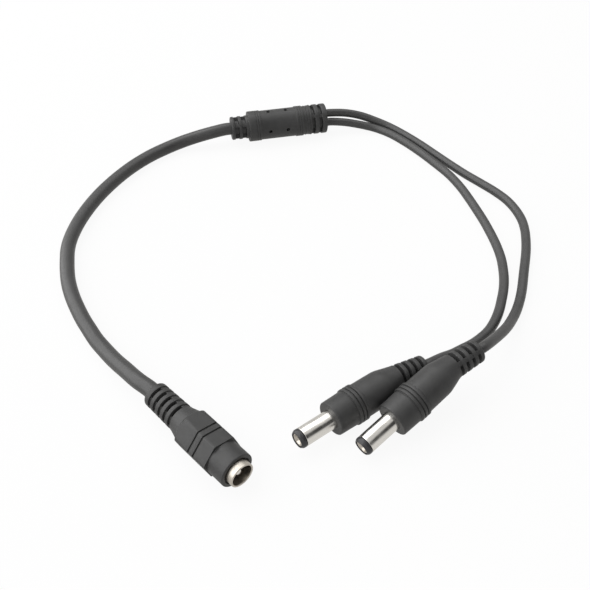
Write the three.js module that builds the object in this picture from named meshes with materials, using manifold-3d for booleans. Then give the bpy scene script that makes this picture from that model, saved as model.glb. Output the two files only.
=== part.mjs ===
// DC power splitter cable: one inline socket, a moulded splitter block and two male plugs.
// Millimetres, +Z up, laid out on the floor plane z = 0.
// Every connector is built along its own +X axis, from its cord end to its mating end.
import * as THREE from 'three';
import { mergeVertices } from 'three/addons/utils/BufferGeometryUtils.js';
import Module from 'manifold-3d';

const wasm = await Module();
wasm.setup();
const { Manifold, Mesh: SolidMesh } = wasm;

// Clearances
const fitGap = 0.3; // between pieces that touch or nest on the real product
const seatGap = 0.2; // between turned pieces that share one axis inside a contact
const overrun = 1; // how far a cutter runs past the face that it opens

const mergeDistance = 0.0001; // corners closer than this are one corner

// Facets
const roundSides = 24;
const contactSides = 20;
const boreSides = 16;
const smallSides = 12;
const curveSteps = 2;
const wireSides = 6;
const trunkSides = 12;
const branchSides = 8;

// Cords and their insulated cores
const trunkCord = { diameter: 4.9, steps: 26 };
const branchCord = { diameter: 3.2, steps: 27 };
const trunkCore = { diameter: 1.5, apart: 1.9 };
const branchCore = { diameter: 1.0, apart: 1.3 };
const coreSteps = 7;
const straightRun = 2; // how far a core or cord runs straight at its ends

// Inline socket, stations measured from its cord end
const jack = {
  reliefRear: 7.6, reliefFront: 8.2, reliefLength: 12.4, reliefEdge: 0.7, reliefCore: 5.2,
  slotFirst: 2.45, slotPitch: 2.26, slotWidth: 1.05, slotCount: 5, spineWidth: 4.8, spineTurns: [142],
  cordBore: 4.2, chamberBore: 8.2, chamberStart: 16.8,
  coneDiameter: 10.2, coneEnd: 16.0,
  gripFlats: 10.9, gripStart: 15.4, gripChamfer: 1.1, gripEnd: 29.2,
  gripGrooves: [22.3, 24.3], gripGrooveWidth: 0.5, gripGrooveDepth: 0.45,
  noseDiameter: 10.3, noseEnd: 35.1, noseEdge: 0.3,
  mouthDiameter: 8.2, mouthDepth: 0.7,
  sleeveDiameter: 7.3, sleeveBore: 6.2, sleeveStart: 21.0, sleeveEnd: 37.2,
  sleeveFlange: 8.6, sleeveFlangeStart: 22.2, sleeveFlangeWidth: 1.4,
  insulatorStart: 21.6, insulatorLength: 4.2,
  pinDiameter: 2.0, pinRecess: 1.3, pinTipRound: 0.8,
  pinTail: 1.2, pinTailLength: 2.6, pinCollar: 3.2, pinCollarWidth: 1.0, sleeveEdge: 0.1,
  springWidth: 1.8, springThickness: 0.25, springStart: 26.1, springEnd: 33.5, springBow: 0.45,
  springSteps: 8,
};

// Male plug: strain relief from its cord end to the neck, then stations measured from the neck
const plug = {
  reliefRear: 6.7, reliefFront: 7.6, reliefLength: 9.8, reliefEdge: 0.5, reliefCore: 4.3,
  slotFirst: 1.9, slotPitch: 2.25, slotWidth: 1.05, slotCount: 4, spineWidth: 1.4,
  cordBore: 3.2, chamberBore: 6.6, chamberStart: 5.2,
  shoulderDiameter: 10.1, shoulderEnd: 5.2, shoulderRound: 1,
  bodyDiameter: 10.3, bodyEnd: 13.3,
  ringDiameter: 11.0, ringGrooveDiameter: 10.1, ringWidth: 0.8, ringPitch: 1.2, ringCount: 3,
  frontDiameter: 10.3, faceDiameter: 10.0, faceEdge: 0.4, faceStation: 23.3,
  barrelDiameter: 5.5, barrelBore: 4.5, barrelLength: 11.4, barrelEmbedded: 8.4,
  flangeDiameter: 7.0, flangeStart: 1.2, flangeWidth: 1.6,
  tipLength: 1.5, tipTaper: 0.45, tipTaperLength: 0.7,
  contactBore: 2.1, contactWall: 0.35, contactRecess: 0.2, contactStart: 12.0,
  lipDiameter: 3.7, lipLength: 0.6, funnelDiameter: 3.0, funnelLength: 1.0,
  tailDiameter: 1.6, tailLength: 3.4,
};

// Splitter block, stations measured from its trunk end
const block = {
  trunkReliefDiameter: 9.2, trunkReliefLength: 7.0, reliefEdge: 0.4,
  trunkSlots: [1.2, 4.1], trunkSlotWidth: 1.7, trunkSlotCore: 6.0,
  trunkCollarDiameter: 12.1, trunkCollarEnd: 11.9, trunkCollarLines: [9.9, 10.8],
  waistDiameter: 11.6,
  branchCollarDiameter: 12.1, branchCollarStart: 26.5, branchCollarEnd: 29.4,
  branchCollarLines: [27.4, 28.3],
  neckDiameter: 11.4, neckRidges: [30.2, 31.3], neckRidgeWidth: 0.5,
  branchReliefDiameter: 11.9, branchReliefStart: 32.2, length: 39.2,
  branchSlots: [32.8, 35.8], branchSlotWidth: 1.25, branchSlotCore: 8.6,
  spineWidth: 1.6, spineTurns: [48, 138],
  lineWidth: 0.25, lineDepth: 0.15, collarEdge: 0.25,
  pinHoleDiameter: 1.4, pinHoleDepth: 1.4, pinHoles: [15.4, 22.6], pinHoleRows: 4,
  branchApart: 3.7, branchTurn: 45,
  trunkBore: 4.2, branchBore: 3.0, chamberDiameter: 7.4, chamberStart: 12.6, chamberEnd: 27.0,
  jointDiameter: 2.9, jointLength: 8.0, jointStart: 15.8, jointApart: 3.4, jointEdge: 0.5,
};

// Where the cord end of each connector lies, and how it is turned, in degrees
const jackPlace = { x: -45.5, y: -62.1, heading: -46.3, roll: -11 };
const blockPlace = { x: -32.5, y: 77.15, heading: 12.4 };
const rightPlace = {
  x: 45, y: -51.8, rise: 1.6, heading: -146.3, dip: 5, bendHeading: 6.5, bendDip: 7.3, spineTurn: -38,
};
const leftPlace = { x: 30.45, y: -51.85, heading: -151, dip: -1, bendHeading: 7.5, bendDip: 3, spineTurn: 57 };

// Floor routes of the cords between their two ends, chosen by hand
const trunkRoute = [
  [-41, 74.8, 5.4], [-47.1, 73.4, 4.2], [-53.1, 71.2, 3.1], [-58.7, 67.6, 2.5], [-63.9, 62.5, 2.5],
  [-69, 56.1, 2.5], [-73.7, 48.5, 2.5], [-78, 39.6, 2.5], [-80.5, 32.9, 2.5], [-82.3, 26.7, 2.5],
  [-83.6, 20.7, 2.5], [-84.4, 14.8, 2.5], [-84.7, 9.4, 2.5], [-84.4, 4.3, 2.5], [-83.5, -0.8, 2.5],
  [-82.4, -5.9, 2.5], [-81.1, -10.8, 2.5], [-79.4, -15.6, 2.5], [-77.3, -20.4, 2.5], [-75, -24.9, 2.5],
  [-72.5, -29.4, 2.5], [-69.7, -33.8, 2.5], [-66.8, -38.2, 2.5], [-63.4, -42.5, 2.7], [-59.6, -47.3, 3.5],
  [-55.4, -52.1, 4.6], [-51.1, -56.9, 5.6],
];
const rightRoute = [
  [14.4, 88.6, 6.6], [20.8, 88.7, 5.3], [27, 87.5, 3.6], [33.1, 84.6, 2.3], [38.8, 79.4, 1.7],
  [44.2, 72.5, 1.7], [49.3, 65.1, 1.7], [54.3, 57.9, 1.7], [59.1, 51.3, 1.7], [64, 45.4, 1.7],
  [68.5, 39.8, 1.7], [72, 34.2, 1.7], [74.1, 28.3, 1.7], [75.1, 22.3, 1.7], [75, 16.5, 1.7], [74.2, 10.9, 1.7],
  [73.1, 5.5, 1.7], [71.7, 0.2, 1.7], [70.2, -5, 1.7], [68.8, -10, 1.7], [67.4, -14.8, 1.7],
  [65.7, -19.7, 1.8], [63.5, -24.9, 2.2], [60.6, -30.6, 3.6], [57, -37, 6.3], [52.8, -43.1, 9.2],
];
const leftRoute = [
  [14.3, 85.5, 4], [20.7, 85.6, 2.8], [26.9, 84.3, 1.9], [32.7, 80.3, 1.7], [38.3, 73.9, 1.7],
  [43.6, 66.5, 1.7], [48.5, 58.6, 1.7], [53, 50.6, 1.7], [56.3, 42.1, 1.7], [58.4, 34.4, 1.7],
  [59.9, 28.1, 1.7], [61.2, 22.2, 1.7], [62.2, 16.5, 1.7], [63, 10.9, 1.7], [63.5, 5.5, 1.7], [63.6, 0.2, 1.7],
  [63.2, -5, 1.7], [62.5, -10, 1.7], [61.4, -14.8, 1.7], [59.9, -19.6, 1.7], [58, -24.9, 1.7],
  [55.7, -29.7, 1.7], [53, -33.8, 1.7], [50.4, -36.6, 1.8], [47.2, -39.4, 2], [43.6, -42.1, 2.6],
  [40, -44.9, 3.4], [36.5, -47.2, 4.3],
];

const rubber = { color: 0x26272a, roughness: 0.55, metalness: 0 };
const jacket = { color: 0x2a2b2e, roughness: 0.42, metalness: 0 };
const nickel = { color: 0xd9d6ce, roughness: 0.22, metalness: 1 };
const bushBlack = { color: 0x141416, roughness: 0.4, metalness: 0 };
const redCore = { color: 0x9c1f1a, roughness: 0.5, metalness: 0 };
const blackCore = { color: 0x17171a, roughness: 0.5, metalness: 0 };
const sleeving = { color: 0x303236, roughness: 0.6, metalness: 0 };

const radians = THREE.MathUtils.degToRad;

// Solids and meshes
function toSolid(geometry) {
  const bare = geometry.clone();
  bare.deleteAttribute('normal');
  bare.deleteAttribute('uv');
  const merged = mergeVertices(bare, mergeDistance);
  const source = merged.index.array;
  const corners = [];
  for (let i = 0; i < source.length; i += 3) {
    const [a, b, c] = [source[i], source[i + 1], source[i + 2]];
    if (a !== b && b !== c && c !== a) corners.push(a, b, c);
  }
  return new Manifold(new SolidMesh({
    numProp: 3,
    vertProperties: new Float32Array(merged.attributes.position.array),
    triVerts: new Uint32Array(corners),
  }));
}

function toGeometry(solid) {
  const data = solid.getMesh();
  const geometry = new THREE.BufferGeometry();
  geometry.setAttribute('position', new THREE.BufferAttribute(new Float32Array(data.vertProperties), 3));
  geometry.setIndex(new THREE.BufferAttribute(new Uint32Array(data.triVerts), 1));
  geometry.computeVertexNormals();
  return geometry;
}

function piece(name, solid, look) {
  const mesh = new THREE.Mesh(toGeometry(solid), new THREE.MeshStandardMaterial(look));
  mesh.name = name;
  return mesh;
}

// Turned shapes about +X, from corners [station, radius, rounding]
function turned(corners, sides = roundSides) {
  const path = new THREE.Path();
  corners.forEach(([station, radius, rounding], i) => {
    const here = new THREE.Vector2(radius, station);
    if (i === 0) {
      path.moveTo(here.x, here.y);
    } else if (!rounding) {
      path.lineTo(here.x, here.y);
    } else {
      const before = new THREE.Vector2(corners[i - 1][1], corners[i - 1][0]);
      const after = new THREE.Vector2(corners[i + 1][1], corners[i + 1][0]);
      const enter = before.sub(here).setLength(rounding).add(here);
      const leave = after.sub(here).setLength(rounding).add(here);
      path.lineTo(enter.x, enter.y);
      path.quadraticCurveTo(here.x, here.y, leave.x, leave.y);
    }
  });
  const geometry = new THREE.LatheGeometry(path.getPoints(curveSteps), sides);
  geometry.rotateZ(-Math.PI / 2);
  return toSolid(geometry);
}

function rod(start, end, diameter, sides = roundSides) {
  return turned([[start, 0], [start, diameter / 2], [end, diameter / 2], [end, 0]], sides);
}

function ring(start, end, inner, outer) {
  const corners = [[start, outer / 2], [end, outer / 2], [end, inner / 2], [start, inner / 2], [start, outer / 2]];
  return turned(corners, boreSides);
}

// Hexagonal prism along +X with a corner towards +Y
function hexPrism(start, end, flats) {
  const corner = flats / Math.sqrt(3);
  const prism = new THREE.CylinderGeometry(corner, corner, end - start, 6);
  prism.rotateZ(-Math.PI / 2);
  prism.rotateX(Math.PI / 6);
  prism.translate((start + end) / 2, 0, 0);
  return toSolid(prism);
}

// Slots round a strain relief, interrupted by pairs of spines that face each other
function reliefSlots(starts, width, core, outer, spineWidth, spineTurns) {
  const reach = outer + 2 * overrun;
  const rings = starts.map((start) => ring(start, start + width, core, reach));
  const length = starts[starts.length - 1] + width - starts[0] + 2 * overrun;
  const spines = spineTurns.map((turn) => {
    const spine = new THREE.BoxGeometry(length, spineWidth, reach + overrun);
    spine.translate(starts[0] - overrun + length / 2, 0, 0);
    spine.rotateX(radians(turn));
    return toSolid(spine);
  });
  return Manifold.union(rings).subtract(Manifold.union(spines));
}

function evenly(first, pitch, count) {
  return Array.from({ length: count }, (_, i) => first + i * pitch);
}

// Insulated core or cord along a curve through points
function tube(points, diameter, sides, steps) {
  const section = new THREE.Shape();
  evenly(0, 360 / sides, sides).forEach((turn, i) => {
    const corner = new THREE.Vector2(diameter / 2, 0).rotateAround(new THREE.Vector2(), radians(turn));
    if (i === 0) section.moveTo(corner.x, corner.y);
    else section.lineTo(corner.x, corner.y);
  });
  const route = new THREE.CatmullRomCurve3(points, false, 'centripetal');
  return toSolid(new THREE.ExtrudeGeometry(section, { extrudePath: route, steps }));
}

function core(name, points, look, diameter) {
  const route = points.map((p) => new THREE.Vector3(...p));
  return piece(name, tube(route, diameter, wireSides, coreSteps), look);
}

// Inline socket
function jackOvermould() {
  const cordEnd = [[0, 0], [0, jack.reliefRear / 2, jack.reliefEdge]];
  const outline = [
    ...cordEnd,
    [jack.reliefLength, jack.reliefFront / 2],
    [jack.coneEnd, jack.coneDiameter / 2],
    [jack.gripEnd, jack.noseDiameter / 2],
    [jack.noseEnd, jack.noseDiameter / 2, jack.noseEdge],
    [jack.noseEnd, 0],
  ];
  const reach = jack.gripFlats;
  const envelope = turned([
    [jack.gripStart, 0],
    [jack.gripStart, jack.coneDiameter / 2 - jack.gripChamfer / 2],
    [jack.gripStart + jack.gripChamfer + (reach - jack.coneDiameter) / 2, reach / 2 + jack.gripChamfer / 2],
    [jack.gripEnd, reach / 2 + jack.gripChamfer],
    [jack.gripEnd, 0],
  ]);
  const grip = hexPrism(jack.gripStart, jack.gripEnd, jack.gripFlats).intersect(envelope);
  const grooveFloor = hexPrism(jack.gripStart, jack.gripEnd, jack.gripFlats - 2 * jack.gripGrooveDepth);
  const grooves = jack.gripGrooves.map((start) =>
    rod(start, start + jack.gripGrooveWidth, 2 * jack.gripFlats).subtract(grooveFloor));
  const slots = reliefSlots(evenly(jack.slotFirst - jack.slotWidth / 2, jack.slotPitch, jack.slotCount),
    jack.slotWidth, jack.reliefCore, jack.reliefFront, jack.spineWidth, jack.spineTurns);
  const flange = jack.sleeveFlangeStart;
  const bore = turned([
    [-overrun, 0],
    [-overrun, jack.cordBore / 2],
    [jack.reliefLength, jack.cordBore / 2],
    [jack.chamberStart, jack.chamberBore / 2],
    [flange - fitGap, jack.chamberBore / 2],
    [flange - fitGap, jack.sleeveFlange / 2 + fitGap],
    [flange + jack.sleeveFlangeWidth + fitGap, jack.sleeveFlange / 2 + fitGap],
    [flange + jack.sleeveFlangeWidth + fitGap, jack.sleeveDiameter / 2 + fitGap],
    [jack.noseEnd - jack.mouthDepth, jack.sleeveDiameter / 2 + fitGap],
    [jack.noseEnd - jack.mouthDepth, jack.mouthDiameter / 2],
    [jack.noseEnd + overrun, jack.mouthDiameter / 2],
    [jack.noseEnd + overrun, 0],
  ], boreSides);
  return turned(outline).add(grip).subtract(Manifold.union([...grooves, slots, bore]));
}

function jackSleeve() {
  const [outer, inner] = [jack.sleeveDiameter / 2, jack.sleeveBore / 2];
  const flangeEnd = jack.sleeveFlangeStart + jack.sleeveFlangeWidth;
  return turned([
    [jack.sleeveStart, inner],
    [jack.sleeveStart, outer],
    [jack.sleeveFlangeStart, outer],
    [jack.sleeveFlangeStart, jack.sleeveFlange / 2],
    [flangeEnd, jack.sleeveFlange / 2],
    [flangeEnd, outer],
    [jack.sleeveEnd, outer, jack.sleeveEdge],
    [jack.sleeveEnd, inner, jack.sleeveEdge],
    [jack.sleeveStart, inner],
  ], contactSides);
}

function jackInsulator() {
  const collar = jack.insulatorStart + jack.pinCollarWidth + 2 * seatGap;
  const outer = jack.sleeveBore / 2 - seatGap;
  const pinHole = jack.pinDiameter / 2 + seatGap;
  return turned([
    [jack.insulatorStart, jack.pinCollar / 2 + seatGap],
    [jack.insulatorStart, outer],
    [jack.insulatorStart + jack.insulatorLength, outer],
    [jack.insulatorStart + jack.insulatorLength, pinHole],
    [collar, pinHole],
    [collar, jack.pinCollar / 2 + seatGap],
    [jack.insulatorStart, jack.pinCollar / 2 + seatGap],
  ], contactSides);
}

function jackPin() {
  const collarStart = jack.insulatorStart + seatGap;
  const tip = jack.sleeveEnd - jack.pinRecess;
  const radius = jack.pinDiameter / 2;
  return turned([
    [collarStart - jack.pinTailLength, 0],
    [collarStart - jack.pinTailLength, jack.pinTail / 2],
    [collarStart, jack.pinTail / 2],
    [collarStart, jack.pinCollar / 2],
    [collarStart + jack.pinCollarWidth, jack.pinCollar / 2],
    [collarStart + jack.pinCollarWidth, radius],
    [tip, radius, jack.pinTipRound],
    [tip, 0],
  ], smallSides);
}

// Bowed strip along the socket wall that presses on the plug's barrel
function jackSpring() {
  const wall = jack.sleeveBore / 2 - seatGap;
  const [start, end, thick, bow] = [jack.springStart, jack.springEnd, jack.springThickness, jack.springBow];
  const middle = (start + end) / 2;
  const strip = new THREE.Shape();
  strip.moveTo(start, wall - thick);
  strip.lineTo(start, wall);
  strip.quadraticCurveTo(middle, wall - 2 * bow, end, wall);
  strip.lineTo(end, wall - thick);
  strip.quadraticCurveTo(middle, wall - 2 * bow - thick, start, wall - thick);
  const side = { depth: jack.springWidth, bevelEnabled: false, curveSegments: jack.springSteps };
  const geometry = new THREE.ExtrudeGeometry(strip, side);
  geometry.translate(0, 0, -jack.springWidth / 2);
  const bore = rod(start - overrun, end + overrun, jack.sleeveBore - 2 * seatGap);
  return toSolid(geometry).intersect(bore);
}

function buildJack() {
  const group = new THREE.Group();
  const tailEnd = jack.insulatorStart + seatGap - jack.pinTailLength;
  const half = trunkCore.apart / 2;
  const rim = (jack.chamberBore - trunkCore.diameter) / 2 - fitGap;
  group.add(
    piece('jack_overmould', jackOvermould(), rubber),
    piece('jack_sleeve', jackSleeve(), nickel),
    piece('jack_insulator', jackInsulator(), bushBlack),
    piece('jack_centre_pin', jackPin(), nickel),
    piece('jack_leaf_spring', jackSpring(), nickel),
    core('jack_positive_wire', [[0, half, 0], [jack.reliefLength, half, 0], [tailEnd - straightRun, 0, 0],
      [tailEnd - fitGap, 0, 0]], redCore, trunkCore.diameter),
    core('jack_negative_wire', [[0, -half, 0], [jack.reliefLength, -half, 0],
      [jack.chamberStart, -(half + rim) / 2, 0], [jack.sleeveStart - straightRun, -rim, 0],
      [jack.sleeveStart - fitGap, -rim, 0]], blackCore, trunkCore.diameter),
  );
  return group;
}

// Male plug
function plugOvermould(bend, spineTurn) {
  const relief = turned([
    [0, 0],
    [0, plug.reliefRear / 2, plug.reliefEdge],
    [plug.reliefLength, plug.reliefFront / 2],
    [plug.reliefLength + overrun, 0],
  ]);
  const ringsEnd = plug.bodyEnd + (plug.ringCount + 1) * plug.ringPitch;
  const rings = evenly(plug.bodyEnd + plug.ringPitch, plug.ringPitch, plug.ringCount).flatMap((start) => [
    [start - (plug.ringPitch - plug.ringWidth), plug.ringGrooveDiameter / 2],
    [start - 0.5 * (plug.ringPitch - plug.ringWidth), plug.ringDiameter / 2],
    [start + plug.ringWidth - 0.5 * (plug.ringPitch - plug.ringWidth), plug.ringDiameter / 2],
    [start + plug.ringWidth, plug.ringGrooveDiameter / 2],
  ]);
  const body = turned([
    [-overrun, 0],
    [0, plug.reliefFront / 2],
    [plug.shoulderEnd, plug.shoulderDiameter / 2, plug.shoulderRound],
    [plug.bodyEnd, plug.bodyDiameter / 2],
    ...rings,
    [ringsEnd, plug.frontDiameter / 2],
    [plug.faceStation, plug.faceDiameter / 2, plug.faceEdge],
    [plug.faceStation, 0],
  ]);
  const slots = reliefSlots(evenly(plug.slotFirst - plug.slotWidth / 2, plug.slotPitch, plug.slotCount),
    plug.slotWidth, plug.reliefCore, plug.reliefFront, plug.spineWidth, [spineTurn]);
  const barrelStart = plug.faceStation - plug.barrelEmbedded;
  const flange = barrelStart + plug.flangeStart;
  const bore = turned([
    [-overrun, 0],
    [-overrun, plug.cordBore / 2],
    [overrun, plug.cordBore / 2],
    [plug.chamberStart, plug.chamberBore / 2],
    [flange - fitGap, plug.chamberBore / 2],
    [flange - fitGap, plug.flangeDiameter / 2 + fitGap],
    [flange + plug.flangeWidth + fitGap, plug.flangeDiameter / 2 + fitGap],
    [flange + plug.flangeWidth + fitGap, plug.barrelDiameter / 2 + fitGap],
    [plug.faceStation + overrun, plug.barrelDiameter / 2 + fitGap],
    [plug.faceStation + overrun, 0],
  ], boreSides);
  const cordBore = rod(-overrun, plug.reliefLength + overrun, plug.cordBore, smallSides);
  const turn = bend.elements;
  return relief.add(body.transform(turn)).subtract(Manifold.union([slots, cordBore, bore.transform(turn)]));
}

function plugBarrel() {
  const start = plug.faceStation - plug.barrelEmbedded;
  const end = plug.faceStation + plug.barrelLength - plug.tipLength - seatGap;
  const flange = start + plug.flangeStart;
  const [outer, inner] = [plug.barrelDiameter / 2, plug.barrelBore / 2];
  return turned([
    [start, inner],
    [start, outer],
    [flange, outer],
    [flange, plug.flangeDiameter / 2],
    [flange + plug.flangeWidth, plug.flangeDiameter / 2],
    [flange + plug.flangeWidth, outer],
    [end, outer],
    [end, inner],
    [start, inner],
  ], contactSides);
}

function plugInsulator() {
  const tip = plug.faceStation + plug.barrelLength;
  const start = plug.faceStation - plug.barrelEmbedded + plug.flangeStart;
  const outer = plug.barrelBore / 2 - seatGap;
  const inner = plug.contactBore / 2 + plug.contactWall + seatGap;
  const lipSeat = tip - plug.contactRecess - plug.lipLength - seatGap;
  return turned([
    [start, inner],
    [start, outer],
    [tip - plug.tipLength, outer],
    [tip - plug.tipLength, plug.barrelDiameter / 2],
    [tip - plug.tipTaperLength, plug.barrelDiameter / 2],
    [tip, plug.barrelDiameter / 2 - plug.tipTaper],
    [tip, plug.lipDiameter / 2 + seatGap],
    [lipSeat, plug.lipDiameter / 2 + seatGap],
    [lipSeat, inner],
    [start, inner],
  ], contactSides);
}

// Tube with a lip at its mouth and a funnel that guides the socket's pin in
function plugContact() {
  const end = plug.faceStation + plug.barrelLength - plug.contactRecess;
  const start = plug.contactStart + plug.tailLength;
  const outer = plug.contactBore / 2 + plug.contactWall;
  return turned([
    [plug.contactStart, 0],
    [plug.contactStart, plug.tailDiameter / 2],
    [start, plug.tailDiameter / 2],
    [start, outer],
    [end - plug.lipLength, outer],
    [end - plug.lipLength, plug.lipDiameter / 2],
    [end, plug.lipDiameter / 2],
    [end, plug.funnelDiameter / 2],
    [end - plug.funnelLength, plug.contactBore / 2],
    [start + plug.tailDiameter, plug.contactBore / 2],
    [start + plug.tailDiameter, 0],
  ], smallSides);
}

function buildPlug(side, place) {
  const bend = new THREE.Matrix4()
    .makeRotationFromEuler(new THREE.Euler(0, radians(place.bendDip), radians(place.bendHeading), 'ZYX'))
    .setPosition(plug.reliefLength, 0, 0);
  const body = new THREE.Group();
  body.applyMatrix4(bend);
  body.add(
    piece(`${side}_plug_barrel`, plugBarrel(), nickel),
    piece(`${side}_plug_tip_insulator`, plugInsulator(), bushBlack),
    piece(`${side}_plug_inner_contact`, plugContact(), nickel),
  );
  const inBody = (x, y, z) => new THREE.Vector3(x, y, z).applyMatrix4(bend).toArray();
  const half = branchCore.apart / 2;
  const barrelStart = plug.faceStation - plug.barrelEmbedded;
  const rim = (plug.barrelDiameter + plug.barrelBore) / 4;
  const group = new THREE.Group();
  group.add(
    body,
    piece(`${side}_plug_overmould`, plugOvermould(bend, place.spineTurn), rubber),
    core(`${side}_plug_positive_wire`, [[0, half, 0], [plug.reliefLength / 2, half, 0], inBody(0, half, 0),
      inBody(plug.chamberStart, half, 0), inBody(plug.contactStart - straightRun, 0, 0),
      inBody(plug.contactStart - fitGap, 0, 0)], redCore, branchCore.diameter),
    core(`${side}_plug_negative_wire`, [[0, -half, 0], [plug.reliefLength / 2, -half, 0], inBody(0, -half, 0),
      inBody(plug.chamberStart, -(half + rim) / 2, 0), inBody(barrelStart - straightRun, -rim, 0),
      inBody(barrelStart - fitGap, -rim, 0)], blackCore, branchCore.diameter),
  );
  return group;
}

// Splitter block
function blockOutline() {
  const thinLines = (starts, diameter) => starts.flatMap((start) => [
    [start, diameter / 2],
    [start, diameter / 2 - block.lineDepth],
    [start + block.lineWidth, diameter / 2 - block.lineDepth],
    [start + block.lineWidth, diameter / 2],
  ]);
  const ridges = block.neckRidges.flatMap((start) => [
    [start, block.neckDiameter / 2],
    [start, block.neckDiameter / 2 + block.lineDepth],
    [start + block.neckRidgeWidth, block.neckDiameter / 2 + block.lineDepth],
    [start + block.neckRidgeWidth, block.neckDiameter / 2],
  ]);
  return [
    [0, 0],
    [0, block.trunkReliefDiameter / 2, block.reliefEdge],
    [block.trunkReliefLength, block.trunkReliefDiameter / 2],
    [block.trunkReliefLength, block.trunkCollarDiameter / 2, block.collarEdge],
    ...thinLines(block.trunkCollarLines, block.trunkCollarDiameter),
    [block.trunkCollarEnd, block.trunkCollarDiameter / 2],
    [block.trunkCollarEnd, block.waistDiameter / 2],
    [block.branchCollarStart, block.waistDiameter / 2],
    [block.branchCollarStart, block.branchCollarDiameter / 2],
    ...thinLines(block.branchCollarLines, block.branchCollarDiameter),
    [block.branchCollarEnd, block.branchCollarDiameter / 2],
    [block.branchCollarEnd, block.neckDiameter / 2],
    ...ridges,
    [block.branchReliefStart, block.neckDiameter / 2],
    [block.branchReliefStart, block.branchReliefDiameter / 2],
    [block.length, block.branchReliefDiameter / 2, block.reliefEdge],
    [block.length, 0],
  ];
}

function branchSpots() {
  const turn = radians(block.branchTurn);
  const spot = [Math.cos(turn), Math.sin(turn)].map((part) => part * block.branchApart / 2);
  return { right: spot, left: spot.map((part) => -part) };
}

function splitterMould() {
  const slots = [
    reliefSlots(block.trunkSlots, block.trunkSlotWidth, block.trunkSlotCore, block.trunkReliefDiameter,
      block.spineWidth, block.spineTurns),
    reliefSlots(block.branchSlots, block.branchSlotWidth, block.branchSlotCore, block.branchReliefDiameter,
      block.spineWidth, block.spineTurns),
  ];
  const holes = evenly(0, 360 / block.pinHoleRows, block.pinHoleRows).flatMap((turn) =>
    block.pinHoles.map((station) => {
      const hole = new THREE.CylinderGeometry(block.pinHoleDiameter / 2, block.pinHoleDiameter / 2,
        block.pinHoleDepth + overrun, smallSides);
      hole.translate(station, (block.waistDiameter - block.pinHoleDepth + overrun) / 2, 0);
      hole.rotateX(radians(turn));
      return toSolid(hole);
    }));
  const bore = turned([
    [-overrun, 0],
    [-overrun, block.trunkBore / 2],
    [block.chamberStart - straightRun, block.trunkBore / 2],
    [block.chamberStart, block.chamberDiameter / 2],
    [block.chamberEnd, block.chamberDiameter / 2],
    [block.chamberEnd, 0],
  ], boreSides);
  const branchBores = Object.values(branchSpots()).map(([y, z]) =>
    rod(block.chamberEnd - overrun, block.length + overrun, block.branchBore, smallSides).translate([0, y, z]));
  return turned(blockOutline()).subtract(Manifold.union([...slots, ...holes, bore, ...branchBores]));
}

function joint(name, y) {
  const solid = turned([
    [block.jointStart, 0],
    [block.jointStart, block.jointDiameter / 2, block.jointEdge],
    [block.jointStart + block.jointLength, block.jointDiameter / 2, block.jointEdge],
    [block.jointStart + block.jointLength, 0],
  ], smallSides);
  return piece(name, solid.translate([0, y, 0]), sleeving);
}

function buildSplitter() {
  const group = new THREE.Group();
  group.add(piece('splitter_mould', splitterMould(), rubber));
  const spots = branchSpots();
  const jointEnd = block.jointStart + block.jointLength;
  [['positive', 1, redCore], ['negative', -1, blackCore]].forEach(([pole, side, look]) => {
    const y = side * block.jointApart / 2;
    group.add(joint(`splitter_${pole}_joint`, y));
    const trunkY = side * trunkCore.apart / 2;
    group.add(core(`splitter_trunk_${pole}_wire`, [[0, trunkY, 0], [block.chamberStart - straightRun, trunkY, 0],
      [block.jointStart - fitGap, y, 0]], look, trunkCore.diameter));
    Object.entries(spots).forEach(([branch, [spotY, spotZ]]) => {
      const wireY = spotY + side * branchCore.apart / 2;
      const startZ = Math.sign(spotZ) * branchCore.apart / 2;
      group.add(core(`splitter_${branch}_${pole}_wire`, [[jointEnd + fitGap, y, startZ],
        [block.chamberEnd, wireY, spotZ], [block.chamberEnd + straightRun, wireY, spotZ],
        [block.length, wireY, spotZ]], look, branchCore.diameter));
    });
  });
  return group;
}

// Placing connectors on the floor
function lay(group, place) {
  group.rotation.set(radians(place.roll ?? 0), radians(place.dip ?? 0), radians(place.heading), 'ZYX');
  group.position.set(place.x, place.y, 0);
  group.updateMatrixWorld(true);
  group.position.z = (place.rise ?? 0) - new THREE.Box3().setFromObject(group, true).min.z;
  group.updateMatrixWorld(true);
  return group;
}

// Cords, each from just off one connector's end to just off the other's
function exitOf(group, station, y, z) {
  const outward = station === 0 ? -1 : 1;
  const at = (out) => group.localToWorld(new THREE.Vector3(station + outward * out, y, z));
  return [at(fitGap), at(fitGap + straightRun)];
}

function cord(name, from, route, to, size, sides) {
  const points = [...from, ...route.map((p) => new THREE.Vector3(...p)), ...to.reverse()];
  return piece(name, tube(points, size.diameter, sides, size.steps), jacket);
}

const socketEnd = lay(buildJack(), jackPlace);
const splitter = lay(buildSplitter(), blockPlace);
const rightPlug = lay(buildPlug('right', rightPlace), rightPlace);
const leftPlug = lay(buildPlug('left', leftPlace), leftPlace);
const spots = branchSpots();

const cable = new THREE.Group();
cable.add(socketEnd, splitter, rightPlug, leftPlug);
cable.add(
  cord('trunk_cord', exitOf(splitter, 0, 0, 0), trunkRoute, exitOf(socketEnd, 0, 0, 0), trunkCord, trunkSides),
  cord('right_branch_cord', exitOf(splitter, block.length, ...spots.right), rightRoute,
    exitOf(rightPlug, 0, 0, 0), branchCord, branchSides),
  cord('left_branch_cord', exitOf(splitter, block.length, ...spots.left), leftRoute,
    exitOf(leftPlug, 0, 0, 0), branchCord, branchSides),
);

export default cable;
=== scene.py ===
import math

import bmesh
import bpy
from mathutils import Matrix, Vector


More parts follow.
